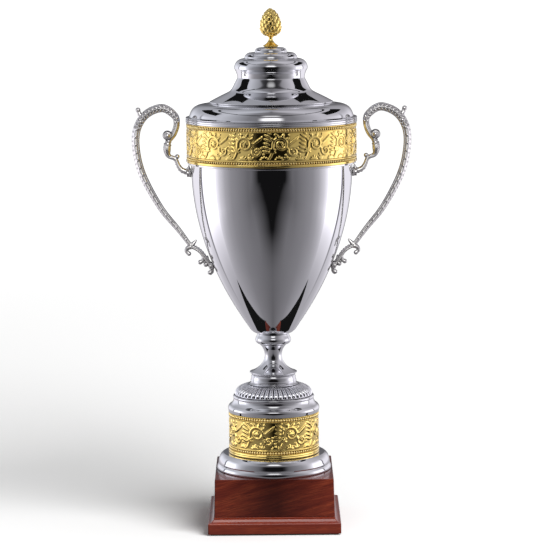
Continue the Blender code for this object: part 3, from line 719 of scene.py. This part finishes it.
def finial():
    tip = ((12.8, 32.0), (8.4, 41.0), 3.0, FINIAL_TOP - 1.0)
    egg = rows_of(trace((4.6, 13.6), (11.4, 17.4, 0.12), (12.8, 23.6, 0.12), tip))
    core = np.vstack([[(0.4, 13.4)], egg - [1.3, 0], [(0.4, FINIAL_TOP - 1.4)]])
    core[:, 0] = np.maximum(core[:, 0], 0.4)
    parts = [spun(np.repeat(core[None], 48, axis=0))]
    gaps = np.hypot(*np.diff(egg, axis=0).T)
    share = np.concatenate([[0], np.cumsum(gaps * (egg[1:, 0] + egg[:-1, 0]) / 2)])
    for k in range(CONE_SCALES):
        at = share[-1] * (k + 0.5) / CONE_SCALES
        radius, level = (np.interp(at, share, egg[:, c]) for c in (0, 1))
        ahead = np.array([np.diff(np.interp((at - 4, at + 4), share, egg[:, c]))[0] for c in (0, 1)])
        ahead /= np.linalg.norm(ahead)
        cos, sin = math.cos(SCALE_LEAN), math.sin(SCALE_LEAN)
        rise = np.array([ahead[0] * cos + ahead[1] * sin, ahead[1] * cos - ahead[0] * sin])
        turn, wide = compass(k * GOLDEN_ANGLE)
        size = 0.62 + 0.38 * min(1, radius / 11)
        along = turn * rise[0] + [0, 0, rise[1]]
        out = turn * rise[1] + [0, 0, -rise[0]]
        centre = turn * (radius - 1.35) + [0, 0, level]
        parts.append(ellipsoid(centre, (wide * 2.7 * size, along * 3.4 * size, out * 1.3 * size), 14, 10))
    parts.append(ellipsoid((0, 0, FINIAL_TOP - 1.9), np.diag([1.9, 1.9, 1.9])))
    foot = trace((0.4, 6.0), (1.8, 6.0), (1.8, 0), (7.4, 0), (8.8, 2.0), ((4.6, 4.0), (2.2, 7.0), 2.2, 11.2))
    foot = ease(foot + trace((4.8, 13.8), (4.8, 14.6), (0.4, 14.6)), 0.3)
    ribs = 1 + 0.06 * np.cos(10 * 2 * np.pi * np.arange(120) / 120)
    outlines = np.repeat(foot[None], 120, axis=0)
    swell = np.clip((outlines[..., 0] - 2.0) / 1.0, 0, 1) * (outlines[..., 1] > 1.0)
    outlines[..., 0] *= 1 + (ribs[:, None] - 1) * swell
    parts.append(spun(outlines))
    for k in range(8):
        turn, wide = compass(2 * math.pi * k / 8)
        parts.append(ellipsoid(turn * 5.4 + [0, 0, 14.2], (wide * 1.9, turn * 2.2, (0, 0, 1.2)), 10, 6))
    vertices, faces = fused("finial_shape", parts, FINIAL_VOXEL)
    vertices[:, 2] += bottom("finial")
    dress("finial", vertices, faces, GOLD, "gold_plate")


finial()


# ---- handles

DEPTH = 0.9
BOW = (
    (120.6, 455.5, 2.8), (114.6, 464.0, 3.6), (111.0, 475.0, 3.6), (113.4, 485.4, 4.2), (128.0, 494.3, 4.9),
    (147.0, 486.6, 4.8), (157.9, 468.6, 4.7), (158.6, 444.0, 4.5), (150.9, 414.0, 4.4), (131.0, 377.0, 3.8),
    (110.4, 351.0, 3.1), (95.8, 331.2, 2.4),
)
ARM = (
    (120.6, 457.0, 2.8), (122.6, 447.2, 4.5), (121.0, 438.4, 3.0), (113.0, 434.4, 2.4), (109.6, 427.0, 2.6),
    (105.6, 421.6, 3.0), (98.0, 418.6, 3.2),
)
SCROLL = (
    (96.0, 331.0, 2.4), (90.0, 328.6, 2.5), (84.6, 324.4, 2.5), (80.4, 318.6, 2.6), (77.2, 313.4, 2.7),
    (73.6, 309.4, 2.6),
)
TAIL = ((73.8, 309.4, 2.9), (72.0, 305.0, 2.6), (71.6, 301.4, 2.4), (73.0, 299.0, 2.2))
CURL = ((80.8, 318.2, 2.5), (82.2, 314.2, 2.3), (84.6, 312.0, 2.2))
LEAF_UP = ((95.4, 332.0, 2.8), (92.6, 335.0, 2.2), (90.0, 337.8, 1.2))
LEAF_OUT = ((95.8, 330.6, 2.9), (99.8, 329.2, 2.6), (101.4, 325.8, 2.3), (98.8, 322.4, 2.2))
LEAF_WALL = ((76.8, 312.4, 2.3), (76.4, 316.2, 1.6), (76.6, 319.2, 1.0))
LEAF_ARM = ((99.4, 420.4, 2.4), (97.6, 423.6, 1.7), (97.2, 426.2, 1.0))
CUSP = ((152.0, 482.2, 3.4), (154.6, 488.2, 2.5), (155.8, 491.4, 2.2))
BALLS = (
    (121.9, 462.2, 5.8), (156.0, 492.2, 2.9), (110.8, 437.2, 2.8), (85.2, 312.2, 2.8), (78.6, 309.4, 2.9),
    (98.4, 322.4, 2.7), (74.2, 299.8, 2.5),
)
BOSS_GAP = 0.35
HUSK_LEAN = 0.5
BEAD_LIFT = 0.84
UPPER_FIXING = 418.0
LOWER_FIXING = 309.0


def smooth_path(knots, steps):
    """A smooth line through knots (x, z, half width)."""
    knots = np.array(knots, float)
    padded = np.vstack([2 * knots[0] - knots[1], knots, 2 * knots[-1] - knots[-2]])
    points = []
    for before, start, end, after in zip(padded, padded[1:], padded[2:], padded[3:]):
        for step in range(steps):
            t = step / steps
            bend = 2 * before - 5 * start + 4 * end - after
            twist = 3 * start - before - 3 * end + after
            points.append((2 * start + (end - before) * t + bend * t**2 + twist * t**3) / 2)
    return np.vstack([points, knots[-1]])


def normals(path):
    """The direction to the left of a line in its plane, at each of its points."""
    ahead = np.gradient(path[:, :2], axis=0)
    ahead /= np.linalg.norm(ahead, axis=1)[:, None]
    return np.stack([-ahead[:, 1], ahead[:, 0]], -1)


def swept(path, depth=DEPTH, around=20, rib=0.0):
    """A closed bar along a line (x, z, half width), oval in section, with an optional rib down each face."""
    side = normals(path)
    turn = 2 * np.pi * np.arange(around) / around
    section = 1 - rib * (np.cos(4 * turn) < -0.2)
    across = np.cos(turn) * section
    through = np.sin(turn) * depth * section
    x = path[:, 0, None] + side[:, 0, None] * across * path[:, 2, None]
    z = path[:, 1, None] + side[:, 1, None] * across * path[:, 2, None]
    y = through[None] * path[:, 2, None]
    return np.stack([x, y, z], -1).reshape(-1, 3), capped(len(path), around)


def ball(x, z, radius, y=0.0, depth=DEPTH, around=16, up=12):
    return ellipsoid((x, y, z), np.diag([radius, radius * depth, radius]), around, up)


def every(path, gap, start=0.0, stop=1.0):
    """Places (x, z, half width, leftward x, leftward z) at even gaps along part of a line."""
    along = np.concatenate([[0], np.cumsum(np.linalg.norm(np.diff(path[:, :2], axis=0), axis=1))])
    side = normals(path)
    at = np.arange(along[-1] * start, along[-1] * stop, gap)
    return np.stack([np.interp(at, along, column) for column in np.column_stack([path, side]).T], -1)


def spots(path, gap, start, stop):
    """Centre, half width, and directions ahead and to the left, at even gaps along part of a bar."""
    for x, z, half, nx, nz in every(path, gap, start, stop):
        yield np.array([x, 0, z]), half, np.array([nz, 0, -nx]), np.array([nx, 0, nz])


def fixing_line(height):
    """Where the bowl's wall is at a height, as (x, z), and the direction out of it."""
    wall = rows_of(trace(WALL_FOOT, WALL))[1:]
    wall[:, 1] += bottom("bowl")
    k = int(np.searchsorted(wall[:, 1], height))
    ahead = wall[k] - wall[k - 1]
    share = (height - wall[k - 1, 1]) / ahead[1]
    point = wall[k - 1] + ahead * share
    out = np.array([ahead[1], -ahead[0]]) / np.linalg.norm(ahead)
    return point, out


def boss(height, radius, length):
    """A round foot from the bowl's wall into the handle."""
    point, out = fixing_line(height)
    start = point + out * BOSS_GAP
    end = point + out * length
    flare = 1.0 + 0.18 * np.array([1, 0.7, 0.2, 0, 0, 0.1])
    line = np.stack([start + (end - start) * t for t in np.linspace(0, 1, 6)])
    return swept(np.column_stack([line, radius * flare]), 1.0)


def husks(path, gap, start, stop, reach, size):
    """Overlapping husk leaves along the outer edge of a bar."""
    cos, sin = math.cos(HUSK_LEAN), math.sin(HUSK_LEAN)
    parts = []
    for centre, half, along, out in spots(path, gap, start, stop):
        tilt = along * cos + out * sin
        rise = out * cos - along * sin
        axes = (tilt * half * size * 1.25, (0, half * 0.62, 0), rise * half * size * 0.62)
        parts.append(ellipsoid(centre + out * half * reach, axes))
    return parts


def beads(path, gap, start, stop, size):
    """Round beads down the middle of both faces of a bar."""
    return [
        ball(x, z, half * size, face * half * DEPTH * BEAD_LIFT, 0.8, 12, 8)
        for x, z, half, _, _ in every(path, gap, start, stop)
        for face in (-1, 1)
    ]


def veins(path, start, stop, offset, size):
    """A thin raised line along both faces of a bar, offset to one side."""
    line = every(path, 0.6, start, stop)
    half = line[:, 2]
    shift = line[:, 3:5] * half[:, None] * offset
    depth = np.sqrt(max(0.0, 1 - offset**2)) * DEPTH * 0.98
    parts = []
    for face in (-1, 1):
        vertices, faces = swept(np.column_stack([line[:, :2] + shift, half * size]), 1.0, 8)
        vertices[:, 1] += face * np.repeat(half, 8) * depth
        parts.append((vertices, faces))
    return parts


def leaf_relief(path, gap, start, stop):
    """Pairs of slanted leaflets on both faces of a bar."""
    parts = []
    for centre, half, along, left in spots(path, gap, start, stop):
        for face in (-1, 1):
            for out in (-left, left):
                lie = along * 0.75 + out * 0.66
                rise = np.array([0, face, 0])
                cross = np.cross(lie, rise)
                root = centre + out * half * 0.42 + [0, face * half * DEPTH * 0.78, 0]
                axes = (lie * half * 0.58, cross * half * 0.22, rise * half * 0.24)
                parts.append(ellipsoid(root, axes, 10, 6))
    return parts


def handle_parts():
    bow = smooth_path(BOW, 14)
    arm = smooth_path(ARM, 10)
    scroll = smooth_path(SCROLL, 8)
    parts = [swept(bow, rib=0.10), swept(arm), swept(scroll, rib=0.08)]
    for knots in (TAIL, CURL, LEAF_UP, LEAF_OUT, LEAF_WALL, LEAF_ARM, CUSP):
        parts.append(swept(smooth_path(knots, 6)))
        parts.append(ball(*knots[-1]))
    ends = [path[k] for path in (bow, arm, scroll) for k in (0, -1)]
    parts += [ball(*place) for place in (*ends, *BALLS)]
    x, z, radius = BALLS[0]
    for face in (-1, 1):
        parts.append(ball(x, z, radius * 0.42, face * radius * DEPTH * 0.86, 0.6))
        ring = np.linspace(0, 2 * np.pi, 25)
        circle = radius * 0.68 * np.stack([np.cos(ring), np.sin(ring), 0 * ring], -1)
        vertices, faces = swept(circle + [x, z, 0.55], 1.0, 8)
        vertices[:, 1] += face * radius * DEPTH * 0.72
        parts.append((vertices, faces))
    parts += [boss(UPPER_FIXING, 4.6, 5.4), boss(LOWER_FIXING, 4.0, 5.0)]
    parts += beads(bow, 9.2, 0.33, 0.97, 0.40)
    parts += husks(bow, 5.2, 0.36, 0.98, 0.56, 0.56)
    parts += leaf_relief(bow, 4.6, 0.10, 0.36)
    parts += veins(bow, 0.06, 0.99, -0.72, 0.16)
    parts += veins(bow, 0.10, 0.36, 0.02, 0.14)
    for centre, half, along, out in spots(arm, 3.4, 0.045, 0.125):
        parts.append(ellipsoid(centre, (out * half * 1.25, (0, half * 1.1, 0), along * 1.15), 16, 10))
    parts += husks(arm, 3.4, 0.52, 0.96, 0.7, 0.62)
    for hand in (1, -1):
        parts += veins(arm, 0.12, 0.50, 0.3 * hand, 0.12)
        parts += veins(scroll, 0.05, 0.95, 0.35 * hand, 0.2)
    parts += husks(scroll, 3.2, 0.1, 0.95, -0.75, 0.6)
    return parts


def handles():
    vertices, faces = fused("handle_shape", handle_parts(), HANDLE_VOXEL)
    dress("handle_right", vertices, faces, SILVER, "cast_silver")
    dress("handle_left", vertices * [-1, -1, 1], faces, SILVER, "cast_silver")


handles()


# ---- plinth


def squared(node, material, corner, *marks, radius=0.5):
    """A square piece with a moulded edge: its outline (half width, height) from its underside to its top."""
    points = trace((2.0, marks[0][1]), *marks, (2.0, marks[-1][-1]))
    outline = ease(points, radius)
    outline = outline[outline[:, 0] > 2.5]
    steps = 6
    turns = [math.pi / 2 * (quarter + step / steps) for quarter in range(4) for step in range(steps + 1)]
    low = bottom(node)
    rings = []
    for half, z in outline:
        inner = half - corner
        for number, turn in enumerate(turns):
            quarter = math.pi / 2 * (number // (steps + 1)) + math.pi / 4
            sx = math.copysign(inner, math.cos(quarter))
            sy = math.copysign(inner, math.sin(quarter))
            rings.append((sx + corner * math.cos(turn), sy + corner * math.sin(turn), z + low))
    dress(node, rings, capped(len(outline), len(turns)), material, "mahogany")


squared("plinth_block", WOOD, 1.2, (70.4, 0), (69.4, 44.2), radius=0.9)
squared(
    "plinth_board",
    BOARD,
    1.6, (77.7, 0), (77.7, 11.2), (76.2, 12.5, 0.3), (72.6, 14.6, -0.2), (71.2, 16.2), (71.0, 18.6),
    radius=0.6,
)


# ---- carried-over nodes

for name, cad in frame["nodes"].items():
    if cad.hide_render:
        continue
    finish = FELT if name == "felt_pad" else STEEL
    cad.data.materials.clear()
    cad.data.materials.append(finish)


# ---- stage

PLATE = 0.78
SOFTBOX = 1.6
ROOM_RADIUS = 7.0
DARK_FLOOR, DARK_SCREEN, MAT_LEVEL = 17, 18, 20


def linear(level):
    """Scene brightness for a display level from 0 to 255."""
    value = np.asarray(level, float) / 255
    return np.where(value > 0.04045, ((value + 0.055) / 1.055) ** 2.4, value / 12.92)


# Directions in degrees from the front, and the display level wanted there: the walls, then the ceiling.
ROUND = (
    (0, 16), (17, 17), (22, 40), (27, 76), (32, 96), (40, 112), (50, 126), (60, 138), (70, 165), (80, 208),
    (88, 255), (117, 255), (119.4, 95), (121.4, 95), (123.5, 232), (150, 228), (160, 190), (168, 120),
    (180, 60),
)
OVERHEAD = ((0, 104), (35, 122), (80, 188), (120, 176), (180, 140))


def between(value, low, high):
    """0 below low, 1 above high, and a smooth step between them."""
    share = np.clip((value - low) / (high - low), 0, 1)
    return share * share * (3 - 2 * share)


def level_at(azimuth, table):
    """Brightness by direction, from the front (0) to the back (180), read from a table of display levels."""
    stops = np.array(table, float)
    return np.interp(azimuth, stops[:, 0], linear(stops[:, 1]) / PLATE)


def surround(azimuth):
    """How bright the walls of the room are."""
    return np.where((azimuth > 87) & (azimuth < 118), SOFTBOX, level_at(azimuth, ROUND))


SCREENS = ((86, 136, 26, 40), (60, 140, 46, 48.5), (153.5, 161, 33, 52))
LID_LEVEL = 0.5
SCREEN_REACH = 0.5


def room_glow(azimuth, elevation):
    """How bright the room is above the table: walls, fading side softboxes, a ceiling and its dark edge."""
    ceiling = level_at(azimuth, OVERHEAD)
    side = between(azimuth, 45, 75)
    up = between(elevation, 24, 30) * (1 - side) + between(elevation, 4, 30) * side
    value = surround(azimuth) * (1 - up) + ceiling * up
    ring = between(elevation, 50, 51.5) * (1 - between(elevation, 54, 57)) * (1 - between(azimuth, 18, 100))
    return value * (1 - 0.85 * ring)


def table_glow(azimuth, reach):
    """How bright the table is, by direction and distance: it ends in front, where the room is dark."""
    open_floor = np.interp(azimuth, (0, 50, 90), linear([96, 124, 160]) / PLATE)
    side = np.interp(reach, (0.34, 0.50, 0.75, 1.10), (0, 0.15, 0.45, 1))
    wall = surround(azimuth)
    wall = np.where(azimuth < 50, np.maximum(wall, linear(112)), wall)
    lit = open_floor * (1 - side) + wall * side
    half = np.interp(reach, (0.50, 1.30, 2.60), (0, 10, 19))
    fringe = np.interp(reach, (1.3, 2.6), (22, 10))
    dark = np.clip(1 - (azimuth - half) / fringe, 0, 1) * between(reach, 0.24, 0.66)
    return lit * (1 - dark) + linear(DARK_FLOOR) / PLATE * dark


def staged(name, vertices, faces, paint, *unseen):
    """A stage surface, hidden from some kinds of ray."""
    mesh = mesh_of(name, vertices, faces)
    mesh.materials.append(paint.material)
    made = placed(name, mesh)
    for kind in ("diffuse", "shadow", "transmission", *unseen):
        setattr(made, "visible_" + kind, False)
    return made


def glowing(name, vertices, faces, glow, tint=(1, 1, 1), clear=False):
    """A stage surface that only reflections see, glowing by the given brightness at each point."""
    paint = Paint(name)
    paint.material.cycles.emission_sampling = "NONE"
    colour = paint.node("ShaderNodeVertexColor", layer_name="glow").outputs["Color"]
    light = paint.node("ShaderNodeEmission", {"Color": colour})
    if clear:
        through = paint.node("ShaderNodeBsdfTransparent")
        light = paint.node("ShaderNodeAddShader", {0: light.outputs[0], 1: through.outputs[0]})
    paint.shows(light)
    made = staged(name, vertices, faces, paint, "camera")
    colours = np.column_stack([np.asarray(glow)[:, None] * np.asarray(tint), np.ones(len(glow))])
    layer = made.data.color_attributes.new("glow", "FLOAT_COLOR", "POINT")
    layer.data.foreach_set("color", colours.astype(np.float32).ravel())


LAVENDER = np.array([1.0, 0.975, 1.045])
BLUISH = np.array([0.97, 0.985, 1.07])
DARK_MAT = (
    (0.08, -0.085), (0.12, -0.070), (0.16, -0.054), (0.20, -0.040), (0.27, -0.018), (0.38, 0.0),
    (0.20, 0.10), (0.08, 0.12),
)


def room():
    spokes = 360
    azimuth = np.linspace(-180, 180, spokes, endpoint=False)
    elevation = np.linspace(-20, 89, 220)
    az, el = np.meshgrid(np.radians(azimuth), np.radians(elevation))
    vertices = np.stack([np.sin(az) * np.cos(el), -np.cos(az) * np.cos(el), np.sin(el)], -1) * ROOM_RADIUS
    glow = room_glow(np.abs(np.degrees(az)), np.degrees(el))
    left = between(-np.degrees(az), 0, 60)[..., None]
    tint = LAVENDER * (1 - left) + BLUISH * left
    faces = strips(len(elevation), spokes)
    glowing("room", vertices.reshape(-1, 3), faces, glow.ravel(), tint.reshape(-1, 3))
    radii = np.concatenate([np.linspace(0.02, 1.0, 60), np.linspace(1.05, 2.0, 12), np.linspace(2.5, 6.8, 8)])
    az, far = np.meshgrid(np.radians(azimuth), radii)
    vertices = np.stack([np.sin(az) * far, -np.cos(az) * far, 0 * far - 0.001], -1).reshape(-1, 3)
    glow = table_glow(np.abs(np.degrees(az)), far).ravel()
    glowing("table_in_reflections", vertices, strips(len(radii), spokes), glow, LAVENDER)
    for side, name in ((1, "dark_mat_right"), (-1, "dark_mat_left")):
        mat = [(side * x, y, 0.0005) for x, y in DARK_MAT]
        glowing(name, mat, [list(range(len(mat)))], [linear(MAT_LEVEL) / PLATE] * len(mat))
    for number, edges in enumerate(SCREENS):
        for side in (1, -1):
            screen(f"dark_screen_{number}_{side}", side, *edges)


def screen(name, side, near, far, low, high):
    """A black screen over the cup's shoulder, between two directions and two elevations seen from the lid."""
    row = 13
    across = np.radians(np.linspace(near, far, row)) * side
    az, el = np.meshgrid(across, np.radians(np.linspace(low, high, row)))
    rise = LID_LEVEL + SCREEN_REACH * np.tan(el)
    vertices = np.stack([SCREEN_REACH * np.sin(az), -SCREEN_REACH * np.cos(az), rise], -1).reshape(-1, 3)
    glowing(name, vertices, strips(row, row, False), [linear(DARK_SCREEN) / PLATE] * len(vertices))


def card(name, centre, towards, width, height, strength):
    """A softbox with soft edges that only reflections see."""
    centre = Vector(centre)
    ahead = (Vector(towards) - centre).normalized()
    across = ahead.cross(Vector((0, 0, 1))).normalized()
    up = across.cross(ahead).normalized()
    row = 25
    steps = np.linspace(-1, 1, row)
    vertices = [tuple(centre + across * u * width / 2 + up * v * height / 2) for v in steps for u in steps]
    u, v = np.meshgrid(steps, steps)
    soft = (1 - between(np.abs(u), 0.35, 1.0)) * (1 - between(np.abs(v), 0.5, 1.0))
    glowing(name, vertices, strips(row, row, False), (strength * soft).ravel(), clear=True)


TABLE = 1.12
PAINTED_SHADOW_SPOT = (-0.16, 0.44, 0.0)


def backdrop():
    """A white backdrop and table that only the camera sees, with a faint shadow painted on the table behind
    the cup's left.
    """
    sky = Paint("white_backdrop")
    sky.material.cycles.emission_sampling = "NONE"
    sky.shows(sky.node("ShaderNodeEmission", {"Strength": 1.2}))
    staged("white_backdrop", *ellipsoid((0, 0, 0), np.eye(3) * 9.0, 48, 24), sky, "glossy")
    table = Paint("white_table")
    spot = table.node("ShaderNodeNewGeometry").outputs["Position"]
    reach = table.node("ShaderNodeVectorMath", {0: spot}, operation="LENGTH").outputs["Value"]
    # Painted shadow: the table dims a little, to 0.96 of its colour, within 0.75 m of a spot behind the cup's
    # left.
    away = table.node("ShaderNodeVectorMath", {0: spot, 1: PAINTED_SHADOW_SPOT}, operation="DISTANCE").outputs["Value"]
    brighter = table.span(reach, 0.0, 4.0, TABLE, TABLE + 3.9)
    tone = table.maths("MULTIPLY", brighter, table.span(away, 0.0, 0.75, 0.96, 1.0))
    table.shows(table.node("ShaderNodeBsdfDiffuse", {"Color": tone}))
    corners = [(-8, -8, 0), (8, -8, 0), (8, 8, 0), (-8, 8, 0)]
    staged("white_table", corners, [[0, 1, 2, 3]], table, "glossy")


AMBIENT = 0.20
KEY_POWER = 55.0


def lights():
    world = bpy.data.worlds.new("studio")
    world.use_nodes = True
    sky = world.node_tree.nodes["Background"]
    sky.inputs["Color"].default_value = (1.0, 1.0, 1.0, 1)
    sky.inputs["Strength"].default_value = AMBIENT
    bpy.context.scene.world = world
    lamp = area_lamp("key", (1.15, -1.25, 1.35), (0, 0, 0.1), KEY_POWER, 1.9)
    lamp.visible_glossy = False
    gold = [f"{band}_gold_band_{part}" for band in ("lower", "upper") for part in ("visual", "beads")]
    gold.append("finial_visual")
    silver = ["handle_right_visual", "handle_left_visual"]
    for hand in (-1, 1):
        relief_lamp(f"gold_lamp_{hand}", (1.3 * hand, -1.2, 0.25), (0, -1.2, 0.25), 3.4, 1.6, 0.24, gold)
        spot = (0.55 * hand, -0.45, 0.16)
        relief_lamp(f"low_gold_lamp_{hand}", spot, (0, -0.2, 0.1), 1.1, 0.30, 1.1, gold[:2])
    relief_lamp("gold_sparkle", (-1.0, -1.4, 1.6), (0, 0, 0.40), 0.9, 0.6, 2.2, gold)
    relief_lamp("lobe_lamp", (0.0, -1.3, 1.2), (0, 0, 0.12), 2.6, 0.5, 1.1, ["gadroon_dome_visual"])
    relief_lamp("board_lamp", (0.0, -0.45, 1.5), (0, 0, 0), 1.6, 0.8, 3.5, ["plinth_board_visual"])
    relief_lamp("silver_lamp", (0, -2.0, 0.55), (0, 0, 0.55), 2.4, 2.1, 0.72, silver)
    relief_lamp("silver_sparkle", (0.2, -1.9, 1.35), (0, 0, 0.40), 1.1, 0.7, 2.6, silver)


def area_lamp(name, centre, towards, power, width, height=None):
    """A lamp that the camera does not see: a disk, or a rectangle if it has a height."""
    data = bpy.data.lights.new(name, "AREA")
    data.shape = "RECTANGLE" if height else "DISK"
    data.size = width
    if height:
        data.size_y = height
    data.energy = power
    lamp = placed(name, data)
    lamp.location = centre
    lamp.rotation_euler = (Vector(towards) - Vector(centre)).to_track_quat("-Z", "Y").to_euler()
    lamp.visible_camera = False
    return lamp


def relief_lamp(name, centre, towards, width, height, radiance, pieces):
    """A large soft lamp for some pieces alone, which the rest of the cup does not mirror."""
    lamp = area_lamp(name, centre, towards, radiance * math.pi * width * height, width, height)
    lit = bpy.data.collections.new(name)
    for piece in pieces:
        lit.objects.link(bpy.data.objects[piece])
    lamp.light_linking.receiver_collection = lit


LENS = 165.0
VIEWPOINT = (0.0028, -2.951, 0.6795)
DOWNWARD = math.radians(7.4)
ROLL = math.radians(-0.46)


def camera():
    data = bpy.data.cameras.new("camera")
    data.lens = LENS
    data.sensor_width = 36.0
    data.clip_start = 0.1
    data.clip_end = 100.0
    viewer = placed("camera", data)
    tilt = Matrix.Rotation(math.pi / 2 - DOWNWARD, 4, "X") @ Matrix.Rotation(ROLL, 4, "Z")
    viewer.matrix_world = Matrix.Translation(VIEWPOINT) @ tilt
    bpy.context.scene.camera = viewer


room()
card("front_softbox", (0.0, -1.25, 1.22), (0, 0, 0.4), 0.95, 0.30, 1.5)
card("high_softbox", (0.0, -1.25, 1.80), (0, 0, 0.4), 0.90, 0.34, 0.7)
backdrop()
lights()
camera()
bpy.context.scene.view_settings.view_transform = "Standard"
